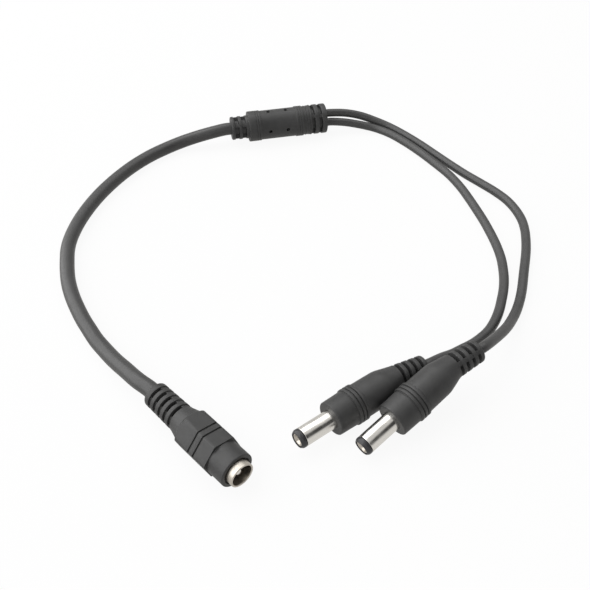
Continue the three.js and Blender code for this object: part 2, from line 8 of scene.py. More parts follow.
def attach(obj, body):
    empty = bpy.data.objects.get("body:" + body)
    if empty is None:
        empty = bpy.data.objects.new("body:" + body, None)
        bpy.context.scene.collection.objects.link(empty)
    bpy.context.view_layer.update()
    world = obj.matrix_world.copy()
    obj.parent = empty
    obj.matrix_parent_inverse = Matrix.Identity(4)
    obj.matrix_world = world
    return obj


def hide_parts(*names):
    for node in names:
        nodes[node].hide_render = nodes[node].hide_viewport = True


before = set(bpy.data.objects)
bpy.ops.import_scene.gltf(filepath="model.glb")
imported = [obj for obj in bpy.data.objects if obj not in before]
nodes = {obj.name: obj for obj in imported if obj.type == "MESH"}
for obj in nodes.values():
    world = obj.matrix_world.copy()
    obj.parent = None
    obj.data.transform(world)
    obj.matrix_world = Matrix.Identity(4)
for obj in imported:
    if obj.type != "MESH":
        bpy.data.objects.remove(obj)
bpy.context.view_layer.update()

MM = 0.001

# Sizes in millimetres, those of the solids, with deeper slots in the plugs' strain reliefs
JACK = dict(
    relief_rear=7.6, relief_front=8.2, relief_length=12.4, relief_edge=0.7, relief_core=5.2,
    slot_first=2.45, slot_pitch=2.26, slot_width=1.05, slot_count=5,
    slot_arcs=((84, 146, 1.0), (84, 192, 0.36)),
    cord_bore=4.2, chamber_bore=8.2, chamber_start=16.8,
    cone=10.2, cone_end=16.0,
    flats=10.9, grip_start=15.4, grip_chamfer=1.1, grip_end=29.2, corner_round=0.09, corner_spread=2.6,
    grooves=(22.3, 24.3), groove_width=0.5, groove_depth=0.45,
    nose=10.3, nose_end=35.1, nose_edge=0.3, mouth=8.2, mouth_depth=0.7,
    sleeve=7.3, sleeve_bore=6.2, sleeve_start=21.0, sleeve_end=37.2,
    flange=8.6, flange_start=22.2, flange_width=1.4,
    insulator_start=21.6, insulator_length=4.2,
    pin=2.0, pin_recess=1.3, pin_tail=1.2, pin_tail_length=2.6, pin_collar=3.2, pin_collar_width=1.0,
)
PLUG = dict(
    relief_rear=6.7, relief_front=7.6, relief_length=9.8, relief_edge=0.5, relief_core=3.6,
    slot_first=1.9, slot_pitch=2.25, slot_width=1.05, slot_count=4, spine_width=1.4, bend_reach=1.6,
    cord_bore=3.2, chamber_bore=6.6, chamber_start=5.2,
    shoulder=10.1, shoulder_end=5.2, body=10.3, body_end=13.3,
    ring=11.0, ring_groove=10.1, ring_width=0.8, ring_pitch=1.2, ring_count=3, ring_lip=0.14,
    front=10.3, face=10.0, face_edge=0.4, face_station=23.3,
    barrel=5.5, barrel_bore=4.5, barrel_length=11.4, barrel_embedded=8.4,
    flange=7.0, flange_start=1.2, flange_width=1.6,
    tip_length=1.5, tip_taper=0.45, tip_taper_length=0.7,
    contact_bore=2.1, contact_wall=0.35, contact_recess=0.2, contact_start=12.0, tail=1.6, tail_length=3.4,
    lip=3.7, lip_length=0.6, funnel=3.0, funnel_length=1.0,
)
BLOCK = dict(
    trunk_relief=9.2, trunk_relief_length=7.0, edge=0.4,
    trunk_slots=(1.2, 4.1), trunk_slot_width=1.7, trunk_slot_core=6.0,
    collar=12.1, trunk_collar_end=11.9, trunk_lines=(9.9, 10.8),
    waist=11.6, branch_collar_start=26.5, branch_collar_end=29.4, branch_lines=(27.4, 28.3),
    neck=11.4, ridges=(30.2, 31.3), ridge_width=0.5,
    branch_relief=11.9, branch_relief_start=32.2, length=39.2,
    branch_slots=(32.8, 35.8), branch_slot_width=1.25, branch_slot_core=8.6,
    spine_width=1.6, spine_turns=(48, 138), line_width=0.25, line_depth=0.15,
    line_slope=0.06, line_lip=0.04,
    pin_hole=1.4, pin_hole_depth=1.4, pin_holes=(15.4, 22.6),
    branch_apart=3.7, branch_turn=45, trunk_bore=4.2, branch_bore=3.0,
    chamber=7.4, chamber_start=12.6, chamber_end=27.0,
)
TRUNK_DIAMETER = 4.9
BRANCH_DIAMETER = 3.2
FIT = 0.3  # gap round a part held inside a moulding
SEAT = 0.2  # gap between an insulator and its metal
SNUG = 0.04  # gap round metal that leaves a moulding
RUN = 2.0  # straight stretch of a cord outside its moulding
SPINE_DROP = 0.28  # how far a spine lies below the ribs
STEP = 0.02  # length of a sharp step in a profile

# Camera and studio, in metres and degrees
ELEVATION = 43.1
DISTANCE = 0.258
AIM = (-0.0065, -0.0155, 0)
SENSOR = 36
FOCAL_SHARE = 790 / 590  # focal length as a share of the picture's width
FLOOR_HALF = 3
FLOOR_DROP = 0.0002
FLOOR_BOUNCE = 0.35  # share of light that the floor gives back to the object
FLOOR_REFLECTED = 0.72  # brightness of the floor in reflections
FLOOR_SHADOW = 0.08  # share of the floor that takes the shadow
ROOM_LIGHT = 0.22
ROOM_REFLECTED = 0.62
ROOM_DARK = 0.05
DARK_TOWARDS = (0.68, -0.45, 0.58)  # the room's dark patch, full inside one angle and gone outside the other
DARK_INNER = 15
DARK_OUTER = 28
# name, place, (width, height), watts, seen in reflections
LAMPS = [
    ("key", (-0.85, 0.1, 0.6), (1.8, 1.8), 19.0, True),
    ("fill", (0.2, -0.9, 0.4), (0.5, 0.5), 1.8, False),
    ("top", (0.05, 0.45, 0.9), (1.1, 0.8), 3.0, True),
]


def placing(x, y, z, heading, dip=0.0, roll=0.0):
    """Where a connector lies: its cord end in millimetres and its turns in degrees."""
    turn = Matrix.Rotation(math.radians(heading), 4, "Z")
    turn = turn @ Matrix.Rotation(math.radians(dip), 4, "Y") @ Matrix.Rotation(math.radians(roll), 4, "X")
    return Matrix.Translation((x, y, z)) @ turn


JACK_PLACE = placing(-45.5, -62.1, 5.95026, -46.3, roll=-11)
BLOCK_PLACE = placing(-32.5, 77.15, 6.05, 12.4)
RIGHT_PLACE = placing(45, -51.8, 12.36534, -146.3, dip=5)
LEFT_PLACE = placing(30.45, -51.85, 5.93892, -151, dip=-1)
RIGHT_BEND = dict(heading=6.5, dip=7.3, spine=-38)
LEFT_BEND = dict(heading=7.5, dip=3, spine=57)

TRUNK_ROUTE = [
    (-41, 74.8, 5.4), (-47.1, 73.4, 4.2), (-53.1, 71.2, 3.1), (-58.7, 67.6, 2.5), (-63.9, 62.5, 2.5),
    (-69, 56.1, 2.5), (-73.7, 48.5, 2.5), (-78, 39.6, 2.5), (-80.5, 32.9, 2.5), (-82.3, 26.7, 2.5),
    (-83.6, 20.7, 2.5), (-84.4, 14.8, 2.5), (-84.7, 9.4, 2.5), (-84.4, 4.3, 2.5), (-83.5, -0.8, 2.5),
    (-82.4, -5.9, 2.5), (-81.1, -10.8, 2.5), (-79.4, -15.6, 2.5), (-77.3, -20.4, 2.5), (-75, -24.9, 2.5),
    (-72.5, -29.4, 2.5), (-69.7, -33.8, 2.5), (-66.8, -38.2, 2.5), (-63.4, -42.5, 2.7), (-59.6, -47.3, 3.5),
    (-55.4, -52.1, 4.6), (-51.1, -56.9, 5.6),
]
RIGHT_ROUTE = [
    (14.4, 88.6, 6.6), (20.8, 88.7, 5.3), (27, 87.5, 3.6), (33.1, 84.6, 2.3), (38.8, 79.4, 1.7),
    (44.2, 72.5, 1.7), (49.3, 65.1, 1.7), (54.3, 57.9, 1.7), (59.1, 51.3, 1.7), (64, 45.4, 1.7),
    (68.5, 39.8, 1.7), (72, 34.2, 1.7), (74.1, 28.3, 1.7), (75.1, 22.3, 1.7), (75, 16.5, 1.7),
    (74.2, 10.9, 1.7), (73.1, 5.5, 1.7), (71.7, 0.2, 1.7), (70.2, -5, 1.7), (68.8, -10, 1.7),
    (67.4, -14.8, 1.7), (65.7, -19.7, 1.8), (63.5, -24.9, 2.2), (60.6, -30.6, 3.6), (57, -37, 6.3),
    (52.8, -43.1, 9.2),
]
LEFT_ROUTE = [
    (14.3, 85.5, 4), (20.7, 85.6, 2.8), (26.9, 84.3, 1.9), (32.7, 80.3, 1.7), (38.3, 73.9, 1.7),
    (43.6, 66.5, 1.7), (48.5, 58.6, 1.7), (53, 50.6, 1.7), (56.3, 42.1, 1.7), (58.4, 34.4, 1.7),
    (59.9, 28.1, 1.7), (61.2, 22.2, 1.7), (62.2, 16.5, 1.7), (63, 10.9, 1.7), (63.5, 5.5, 1.7),
    (63.6, 0.2, 1.7), (63.2, -5, 1.7), (62.5, -10, 1.7), (61.4, -14.8, 1.7), (59.9, -19.6, 1.7),
    (58, -24.9, 1.7), (55.7, -29.7, 1.7), (53, -33.8, 1.7), (50.4, -36.6, 1.8), (47.2, -39.4, 2),
    (43.6, -42.1, 2.6), (40, -44.9, 3.4), (36.5, -47.2, 4.3),
]


# Materials
MIX_A, MIX_B, MIX_COLOUR = 6, 7, 2  # colour sockets of a mix node


def material(name, colour, roughness, metallic=0.0, specular=0.5):
    made = bpy.data.materials.new(name)
    made.use_nodes = True
    tree = made.node_tree
    shader = tree.nodes["Principled BSDF"]
    shader.inputs["Base Color"].default_value = (*colour, 1)
    shader.inputs["Roughness"].default_value = roughness
    shader.inputs["Metallic"].default_value = metallic
    shader.inputs["Specular IOR Level"].default_value = specular
    return made, tree, shader


def node(tree, kind, **values):
    """A new node with values for its sockets or settings."""
    made = tree.nodes.new(kind)
    for key, value in values.items():
        if key in made.inputs:
            made.inputs[key].default_value = value
        else:
            setattr(made, key, value)
    return made


def noise_node(tree, scale, detail):
    place = node(tree, "ShaderNodeTexCoord")
    made = node(tree, "ShaderNodeTexNoise", Scale=scale, Detail=detail)
    tree.links.new(place.outputs["Object"], made.inputs["Vector"])
    return made


def spread(tree, source, low, high, from_low=0.3, from_high=0.7):
    """A source's range stretched to run from low to high."""
    made = node(tree, "ShaderNodeMapRange")
    made.inputs["From Min"].default_value = from_low
    made.inputs["From Max"].default_value = from_high
    made.inputs["To Min"].default_value = low
    made.inputs["To Max"].default_value = high
    tree.links.new(source, made.inputs["Value"])
    return made.outputs["Result"]


def moulded(name, colour, roughness, grain=2600, grain_height=0.012, mottling=0.16, edge=0.12):
    """A plastic with a fine grain, faint mottling and softened edges."""
    made, tree, shader = material(name, colour, roughness)
    broad = noise_node(tree, 260, 4)
    fine = noise_node(tree, grain, 2)
    mix = node(tree, "ShaderNodeMix", data_type="RGBA", blend_type="MULTIPLY")
    mix.inputs["Factor"].default_value = 1.0
    shade = node(tree, "ShaderNodeCombineColor")
    level = spread(tree, broad.outputs["Fac"], 1 - mottling, 1 + mottling)
    for channel in ("Red", "Green", "Blue"):
        tree.links.new(level, shade.inputs[channel])
    tree.links.new(shade.outputs["Color"], mix.inputs[MIX_B])
    mix.inputs[MIX_A].default_value = (*colour, 1)
    tree.links.new(mix.outputs[MIX_COLOUR], shader.inputs["Base Color"])
    rough = spread(tree, fine.outputs["Fac"], roughness - 0.06, roughness + 0.06)
    tree.links.new(rough, shader.inputs["Roughness"])
    bevel = node(tree, "ShaderNodeBevel", samples=4)
    bevel.inputs["Radius"].default_value = edge * MM
    bump = node(tree, "ShaderNodeBump")
    bump.inputs["Distance"].default_value = grain_height * MM
    tree.links.new(fine.outputs["Fac"], bump.inputs["Height"])
    tree.links.new(bevel.outputs["Normal"], bump.inputs["Normal"])
    tree.links.new(bump.outputs["Normal"], shader.inputs["Normal"])
    return made


def plated(name, colour, roughness):
    """A plated metal with slightly uneven gloss."""
    made, tree, shader = material(name, colour, roughness, metallic=1.0)
    broad = noise_node(tree, 420, 3)
    fine = noise_node(tree, 5200, 2)
    rough = spread(tree, broad.outputs["Fac"], roughness - 0.04, roughness + 0.07)
    tree.links.new(rough, shader.inputs["Roughness"])
    shade = node(tree, "ShaderNodeMix", data_type="RGBA")
    tree.links.new(spread(tree, broad.outputs["Fac"], 0, 1), shade.inputs["Factor"])
    shade.inputs[MIX_A].default_value = (*[part * 0.93 for part in colour], 1)
    shade.inputs[MIX_B].default_value = (*colour, 1)
    tree.links.new(shade.outputs[MIX_COLOUR], shader.inputs["Base Color"])
    bump = node(tree, "ShaderNodeBump")
    bump.inputs["Distance"].default_value = 0.0015 * MM
    tree.links.new(fine.outputs["Fac"], bump.inputs["Height"])
    tree.links.new(bump.outputs["Normal"], shader.inputs["Normal"])
    return made


PVC = moulded("moulded_pvc", (0.04, 0.04, 0.04), 0.48)
JACKET = moulded("cord_jacket", (0.056, 0.056, 0.056), 0.38, grain=1500, grain_height=0.006, mottling=0.1)
NICKEL = plated("nickel", (0.87, 0.85, 0.81), 0.2)
INNER_NICKEL = plated("inner_nickel", (0.62, 0.58, 0.52), 0.36)
BUSH = moulded("black_insulator", (0.035, 0.035, 0.038), 0.36, grain_height=0.004, mottling=0.1, edge=0.06)
RED = moulded("red_core", (0.34, 0.015, 0.01), 0.45, grain_height=0.004)
BLACK = moulded("black_core", (0.012, 0.012, 0.014), 0.45, grain_height=0.004)
SLEEVING = moulded("joint_sleeving", (0.03, 0.031, 0.035), 0.6, grain_height=0.01)


# Skins of revolution about +X: every ring of the closed profile holds the same angles
def soft_steps(start, end, lip=0.1, floor=0.14):
    """Stations across a slot with a rounded lip and floor: (station, share of the depth)."""
    rise = [(-lip, 0.0), (-lip * 0.35, 0.015), (0.0, 0.07),
            (0.03, 0.93), (0.03 + floor * 0.35, 0.985), (floor, 1.0)]
    return [(start + at, share) for at, share in rise] + [(end - at, share) for at, share in reversed(rise)]


def share_at(steps, station):
    """Share of a slot's depth at a station, 0 outside the slot."""
    if station <= steps[0][0] or station >= steps[-1][0]:
        return 0.0
    for (a, low), (b, high) in zip(steps, steps[1:]):
        if a <= station <= b:
            return low + (high - low) * (0 if b == a else (station - a) / (b - a))
    return 0.0


def merged(values, least):
    """The values in order, without any that follow another too closely."""
    kept = []
    for value in sorted(values):
        if not kept or value - kept[-1] > least:
            kept.append(value)
    return kept


def between_spines(width, radius, turns):
    """Arcs (from, to, share of the slot's depth) between pairs of facing spines, in degrees."""
    half = math.degrees(math.asin(width / 2 / radius))
    middles = sorted((start + turn) % 360 for start in (90, 270) for turn in turns)
    return [(middle + half, following - half, 1.0)
            for middle, following in zip(middles, middles[1:] + [middles[0] + 360])]


def arc_shares(arcs, radius):
    """Angles that the arcs' soft ends need, and the share of the slot's depth at any angle."""
    per_mm = math.degrees(1 / radius)
    steps = [(soft_steps(start, end, 0.1 * per_mm, 0.14 * per_mm), part) for start, end, part in arcs]
    lines = [angle % 360 for group, _ in steps for angle, _ in group]

    def share(angle):
        around = (angle, angle + 360, angle - 360)
        return max(part * share_at(group, turn) for group, part in steps for turn in around)

    return lines, share


def rounded(corners, steps=4):
    """Profile points from corners (station, radius, rounding)."""
    points = []
    for i, corner in enumerate(corners):
        here = Vector(corner[:2])
        size = corner[2] if len(corner) > 2 else 0
        if not size:
            points.append(tuple(here))
            continue
        before = Vector(corners[i - 1][:2]) - here
        after = Vector(corners[(i + 1) % len(corners)][:2]) - here
        enter = here + before.normalized() * min(size, before.length / 2)
        leave = here + after.normalized() * min(size, after.length / 2)
        for k in range(steps + 1):
            t = k / steps
            at = enter * (1 - t) ** 2 + here * 2 * t * (1 - t) + leave * t ** 2
            points.append(tuple(at))
    return points


def linked(name, data):
    made = bpy.data.objects.new(name, data)
    bpy.context.scene.collection.objects.link(made)
    return made


def finished(mesh, name, look, replaced):
    """A visible piece from a mesh, which takes the place of a solid."""
    bmesh.ops.recalc_face_normals(mesh, faces=mesh.faces)
    data = bpy.data.meshes.new(name)
    mesh.to_mesh(data)
    mesh.free()
    made = linked(name, data)
    data.materials.append(look)
    shade_smooth(made)
    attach(made, "root")
    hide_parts(replaced)
    return made


def shade_smooth(made, angle=38):
    for face in made.data.polygons:
        face.use_smooth = True
    made.data.set_sharp_from_angle(angle=math.radians(angle))


def skin(rings, closed=True):
    """A mesh from rings of points in metres, each joined to the next, and the last to the first if closed.

    A ring of one point is the tip of a cap.
    """
    mesh = bmesh.new()
    rows = [[mesh.verts.new(point) for point in ring] for ring in rings]
    pairs = list(zip(rows, rows[1:]))
    if closed:
        pairs.append((rows[-1], rows[0]))
    for one, two in pairs:
        if len(one) == 1 and len(two) == 1:
            continue
        count = max(len(one), len(two))
        for i in range(count):
            k = (i + 1) % count
            if len(one) == 1:
                mesh.faces.new((one[0], two[i], two[k]))
            elif len(two) == 1:
                mesh.faces.new((one[i], two[0], one[k]))
            else:
                mesh.faces.new((one[i], two[i], two[k], one[k]))
    return mesh


def ring_points(place, station, radii, angles):
    points = []
    for radius, angle in zip(radii, angles):
        turn = math.radians(angle)
        at = place(station) @ Vector((0, radius * math.cos(turn), radius * math.sin(turn)))
        points.append(at * MM)
    return points


def revolve(profile, angles, place, depth=None, radius_at=None):
    """Rings of a profile [(station, radius, outer)], where outer points take slots and shaped radii."""
    rings = []
    for station, radius, outer in profile:
        if radius < 1e-6:
            rings.append([place(station) @ Vector((0, 0, 0)) * MM])
            continue
        if outer:
            radii = [radius_at(station, radius, angle) if radius_at else radius for angle in angles]
            if depth:
                radii = [r - depth(station, angle, r) for r, angle in zip(radii, angles)]
        else:
            radii = [radius] * len(angles)
        rings.append(ring_points(place, station, radii, angles))
    return rings


def turned(profile, angles, place, name, look, replaced, closed=True):
    """A plain turned part from a profile [(station, radius)]."""
    rings = revolve([(*point, False) for point in profile], angles, place)
    return finished(skin(rings, closed), name, look, replaced)


def straight(matrix):
    """A way to place a ring at a station along the local X axis."""
    return lambda station: matrix @ Matrix.Translation((station, 0, 0))


def even_angles(count):
    return [360 * i / count for i in range(count)]


def outer_line(corners, extra, rounding_steps=4):
    """The outside profile with extra stations added along its straight runs."""
    points = rounded(corners, rounding_steps)
    full = []
    for (a, ra), (b, rb) in zip(points, points[1:]):
        full.append((a, ra))
        if b > a:
            inside = merged([s for s in extra if a + 0.01 < s < b - 0.01], 0.01)
            full += [(s, ra + (rb - ra) * (s - a) / (b - a)) for s in inside]
    full.append(points[-1])
    return full


def relief_slots(sizes):
    """Steps of the evenly spaced slots of a strain relief."""
    half = sizes["slot_width"] / 2
    middles = [sizes["slot_first"] + i * sizes["slot_pitch"] for i in range(sizes["slot_count"])]
    return [soft_steps(middle - half, middle + half) for middle in middles]


def relief_depth(groups, core, share_angle):
    """Depth of the slots, with the spines between them a little lower than the ribs."""
    def depth(station, angle, radius):
        along = max(share_at(steps, station) for steps in groups)
        if along == 0:
            return 0.0
        full = radius - core / 2
        return along * (SPINE_DROP + (full - SPINE_DROP) * share_angle(angle))
    return depth


# The inline socket
def build_jack():
    j = JACK
    place = straight(JACK_PLACE)
    slots = relief_slots(j)
    grooves = [soft_steps(start, start + j["groove_width"], 0.06, 0.1) for start in j["grooves"]]
    arcs = [(start + turn, end + turn, part) for start, end, part in j["slot_arcs"] for turn in (0, 180)]
    spine_lines, share = arc_shares(arcs, j["relief_rear"] / 2)
    corners = [i * 60 for i in range(6)]
    near_corners = [corner + off for corner in corners for off in (-3, -1.5, 0, 1.5, 3)]
    angles = merged([a % 360 for a in even_angles(216) + spine_lines + near_corners], 0.35)

    def hexagon(angle, flats):
        """Radius of a hexagon with eased corners."""
        off = (angle + 30) % 60 - 30
        sharp = flats / 2 / math.cos(math.radians(30 - abs(off)))
        return sharp - j["corner_round"] * math.exp(-(off / j["corner_spread"]) ** 2)

    def envelope(station):
        """Radius of the round chamfer that trims the hexagon's corners."""
        reach = j["flats"] / 2
        start = j["grip_start"]
        first = (start, j["cone"] / 2 - j["grip_chamfer"] / 2)
        knee = (start + j["grip_chamfer"] + (j["flats"] - j["cone"]) / 2, reach + j["grip_chamfer"] / 2)
        last = (j["grip_end"], reach + j["grip_chamfer"])
        if station <= knee[0]:
            t = (station - first[0]) / (knee[0] - first[0])
            return first[1] + (knee[1] - first[1]) * t
        return knee[1] + (last[1] - knee[1]) * (station - knee[0]) / (last[0] - knee[0])

    def soft_min(a, b, width=0.05):
        t = max(0.0, min(1.0, 0.5 + (b - a) / (2 * width)))
        return b + (a - b) * t - width * t * (1 - t)

    def soft_max(a, b, width=0.05):
        return -soft_min(-a, -b, width)

    def radius_at(station, radius, angle):
        if station < j["grip_start"] or station > j["grip_end"] + 1e-4:
            return radius
        share_groove = max(share_at(steps, station) for steps in grooves)
        flats = j["flats"] - 2 * j["groove_depth"] * share_groove
        grip = soft_min(hexagon(angle, flats), envelope(station))
        base = radius if share_groove == 0 else min(radius, hexagon(angle, flats))
        return soft_max(base, grip)

    extra = [s for steps in slots + grooves for s, _ in steps]
    chamfer_rings = [j["grip_start"] + 0.1 * i for i in range(26)]
    extra += chamfer_rings + [18, 19.5, 21, 26, 27.5, 31, 33]
    extra += [j["grip_end"] + off for off in (-0.25, -0.1, -0.03, 0, STEP)]
    outer = outer_line([
        (0, j["cord_bore"] / 2), (0, j["relief_rear"] / 2, j["relief_edge"]),
        (j["relief_length"], j["relief_front"] / 2, 0.3), (j["cone_end"], j["cone"] / 2, 0.3),
        (j["grip_end"], j["nose"] / 2), (j["nose_end"], j["nose"] / 2, j["nose_edge"]),
        (j["nose_end"], j["mouth"] / 2, 0.12),
        (j["nose_end"] - j["mouth_depth"], j["mouth"] / 2),
    ], extra)
    outer = [(s, r, s < j["nose_end"] - j["nose_edge"] - 0.01 and i > 0) for i, (s, r) in enumerate(outer)]
    flange_rear = j["flange_start"] - FIT
    flange_front = j["flange_start"] + j["flange_width"] + FIT
    inner = [
        (j["nose_end"] - j["mouth_depth"], j["sleeve"] / 2 + SNUG), (flange_front, j["sleeve"] / 2 + SNUG),
        (flange_front, j["flange"] / 2 + FIT), (flange_rear, j["flange"] / 2 + FIT),
        (flange_rear, j["chamber_bore"] / 2), (j["chamber_start"], j["chamber_bore"] / 2),
        (j["relief_length"], j["cord_bore"] / 2),
    ]
    profile = outer + [(s, r, False) for s, r in inner]
    depth = relief_depth(slots, j["relief_core"], share)
    rings = revolve(profile, angles, place, depth, radius_at)
    finished(skin(rings), "jack_overmould_skin", PVC, "jack_overmould")

    turns = even_angles(96)
    flange_end = j["flange_start"] + j["flange_width"]
    sleeve = rounded([
        (j["sleeve_start"], j["sleeve_bore"] / 2), (j["sleeve_start"], j["sleeve"] / 2),
        (j["flange_start"], j["sleeve"] / 2), (j["flange_start"], j["flange"] / 2),
        (flange_end, j["flange"] / 2), (flange_end, j["sleeve"] / 2),
        (j["sleeve_end"], j["sleeve"] / 2, 0.22), (j["sleeve_end"], j["sleeve_bore"] / 2, 0.3),
        (j["sleeve_end"] - 0.9, j["sleeve_bore"] / 2),
    ])
    turned(sleeve, turns, place, "jack_sleeve_turned", INNER_NICKEL, "jack_sleeve")
    collar = j["insulator_start"] + j["pin_collar_width"] + 2 * SEAT
    pin_hole = j["pin"] / 2 + SEAT
    front = j["insulator_start"] + j["insulator_length"]
    bush = rounded([
        (j["insulator_start"], j["pin_collar"] / 2 + SEAT),
        (j["insulator_start"], j["sleeve_bore"] / 2 - SEAT),
        (front, j["sleeve_bore"] / 2 - SEAT, 0.15), (front, pin_hole, 0.15),
        (collar, pin_hole), (collar, j["pin_collar"] / 2 + SEAT),
    ])
    turned(bush, turns, place, "jack_insulator_turned", BUSH, "jack_insulator")
    rear = j["insulator_start"] + SEAT
    tip = j["sleeve_end"] - j["pin_recess"]
    pin = rounded([
        (rear - j["pin_tail_length"], 0), (rear - j["pin_tail_length"], j["pin_tail"] / 2),
        (rear, j["pin_tail"] / 2), (rear, j["pin_collar"] / 2),
        (rear + j["pin_collar_width"], j["pin_collar"] / 2), (rear + j["pin_collar_width"], j["pin"] / 2),
        (tip, j["pin"] / 2, 0.8), (tip, 0),
    ])
    turned(pin, even_angles(48), place, "jack_pin_turned", NICKEL, "jack_centre_pin",
           closed=False)


# The male plugs
def build_plug(side, matrix, bend):
    p = PLUG
    neck = p["relief_length"]
    body = Matrix.Translation((neck, 0, 0)) @ Matrix.Rotation(math.radians(bend["heading"]), 4, "Z")
    body = body @ Matrix.Rotation(math.radians(bend["dip"]), 4, "Y")
    reach = p["bend_reach"]
    one = Vector((neck - reach, 0, 0))
    two = Vector((neck, 0, 0))
    three = body @ Vector((reach, 0, 0))
    turned_by = body.to_quaternion()

    def place(station):
        """Stations count from the relief's cord end, through a smooth bend at the neck."""
        if station <= neck - reach:
            return matrix @ Matrix.Translation((station, 0, 0))
        if station >= neck + reach:
            return matrix @ body @ Matrix.Translation((station - neck, 0, 0))
        t = (station - neck + reach) / (2 * reach)
        at = one * (1 - t) ** 2 + two * 2 * t * (1 - t) + three * t ** 2
        turn = Matrix.Identity(4).to_quaternion().slerp(turned_by, t)
        return matrix @ Matrix.Translation(at) @ turn.to_matrix().to_4x4()

    slots = relief_slots(p)
    arcs = between_spines(p["spine_width"], p["relief_rear"] / 2, (bend["spine"],))
    spine_lines, share = arc_shares(arcs, p["relief_rear"] / 2)
    angles = merged([a % 360 for a in even_angles(112) + spine_lines], 0.5)
    groove = p["ring_pitch"] - p["ring_width"]
    lip = p["ring_lip"]
    ring_line = []
    for i in range(p["ring_count"] + 1):
        start = neck + p["body_end"] + i * p["ring_pitch"]
        end = start + groove
        left = p["body"] if i == 0 else p["ring"]
        right = p["front"] if i == p["ring_count"] else p["ring"]
        ring_line += [(start - STEP, left / 2, lip), (start + groove * 0.3, p["ring_groove"] / 2, 0.05),
                      (end - groove * 0.3, p["ring_groove"] / 2, 0.05), (end + STEP, right / 2, lip)]
    extra = [s for steps in slots for s, _ in steps] + [neck - reach + reach / 4 * i for i in range(9)]
    outer = outer_line([
        (0, p["cord_bore"] / 2), (0, p["relief_rear"] / 2, p["relief_edge"]),
        (neck, p["relief_front"] / 2, 0.5), (neck + p["shoulder_end"], p["shoulder"] / 2, 1.0),
        *ring_line,
        (neck + p["face_station"], p["face"] / 2, p["face_edge"]),
        (neck + p["face_station"], p["barrel"] / 2 + SNUG, 0.08),
    ], extra, 5)
    outer = [(s, r, s < neck and i > 0) for i, (s, r) in enumerate(outer)]
    flange = neck + p["face_station"] - p["barrel_embedded"] + p["flange_start"]
    inner = [
        (flange + p["flange_width"] + FIT, p["barrel"] / 2 + SNUG),
        (flange + p["flange_width"] + FIT, p["flange"] / 2 + FIT),
        (flange - FIT, p["flange"] / 2 + FIT), (flange - FIT, p["chamber_bore"] / 2),
        (neck + p["chamber_start"], p["chamber_bore"] / 2), (neck + 1, p["cord_bore"] / 2),
        (neck - reach, p["cord_bore"] / 2),
    ]
    profile = outer + [(s, r, False) for s, r in inner]
    depth = relief_depth(slots, p["relief_core"], share)
    finished(skin(revolve(profile, angles, place, depth)), f"{side}_plug_overmould_skin", PVC,
             f"{side}_plug_overmould")

    local = straight(matrix @ body)
    turns = even_angles(96)
    start = p["face_station"] - p["barrel_embedded"]
    end = p["face_station"] + p["barrel_length"] - p["tip_length"] - SEAT
    collar = start + p["flange_start"]
    barrel = rounded([
        (start, p["barrel_bore"] / 2), (start, p["barrel"] / 2), (collar, p["barrel"] / 2),
        (collar, p["flange"] / 2), (collar + p["flange_width"], p["flange"] / 2),
        (collar + p["flange_width"], p["barrel"] / 2), (end, p["barrel"] / 2, 0.12),
        (end, p["barrel_bore"] / 2),
    ])
    turned(barrel, turns, local, f"{side}_plug_barrel_turned", NICKEL,
           f"{side}_plug_barrel")
    tip = p["face_station"] + p["barrel_length"]
    hole = p["contact_bore"] / 2 + p["contact_wall"] + SEAT
    rim = tip - p["contact_recess"]
    lip_seat = rim - p["lip_length"] - SEAT
    bush = rounded([
        (collar, hole), (collar, p["barrel_bore"] / 2 - SEAT),
        (tip - p["tip_length"], p["barrel_bore"] / 2 - SEAT),
        (tip - p["tip_length"], p["barrel"] / 2, 0.08),
        (tip - p["tip_taper_length"], p["barrel"] / 2, 0.3), (tip, p["barrel"] / 2 - p["tip_taper"], 0.08),
        (tip, p["lip"] / 2 + SEAT, 0.05), (lip_seat, p["lip"] / 2 + SEAT), (lip_seat, hole),
    ])
    turned(bush, turns, local, f"{side}_plug_tip_turned", BUSH,
           f"{side}_plug_tip_insulator")
    well = p["contact_start"] + p["tail_length"]
    radius = p["contact_bore"] / 2 + p["contact_wall"]
    contact = rounded([
        (p["contact_start"], 0), (p["contact_start"], p["tail"] / 2), (well, p["tail"] / 2), (well, radius),
        (rim - p["lip_length"], radius), (rim - p["lip_length"], p["lip"] / 2), (rim, p["lip"] / 2, 0.1),
        (rim, p["funnel"] / 2, 0.15), (rim - p["funnel_length"], p["contact_bore"] / 2, 0.2),
        (well + p["tail"], p["contact_bore"] / 2), (well + p["tail"], 0),
    ])
    turned(contact, even_angles(64), local, f"{side}_plug_contact_turned", INNER_NICKEL,
           f"{side}_plug_inner_contact", closed=False)


# The splitter block
def branch_spots():
    """Where the two branch cords leave the block, in its own Y and Z."""
    turn = math.radians(BLOCK["branch_turn"])
    half = BLOCK["branch_apart"] / 2
    return {"right": (half * math.cos(turn), half * math.sin(turn)),
            "left": (-half * math.cos(turn), -half * math.sin(turn))}


def cut_cylinder(length, radius, matrix):
    """A drill along the matrix's Z axis."""
    mesh = bmesh.new()
    bmesh.ops.create_cone(mesh, cap_ends=True, segments=32, radius1=radius * MM, radius2=radius * MM,
                          depth=length * MM)
    data = bpy.data.meshes.new("cutter")
    mesh.to_mesh(data)
    mesh.free()
    made = linked("cutter", data)
    place = matrix.copy()
    place.translation = place.translation * MM
    data.transform(place)
    return made


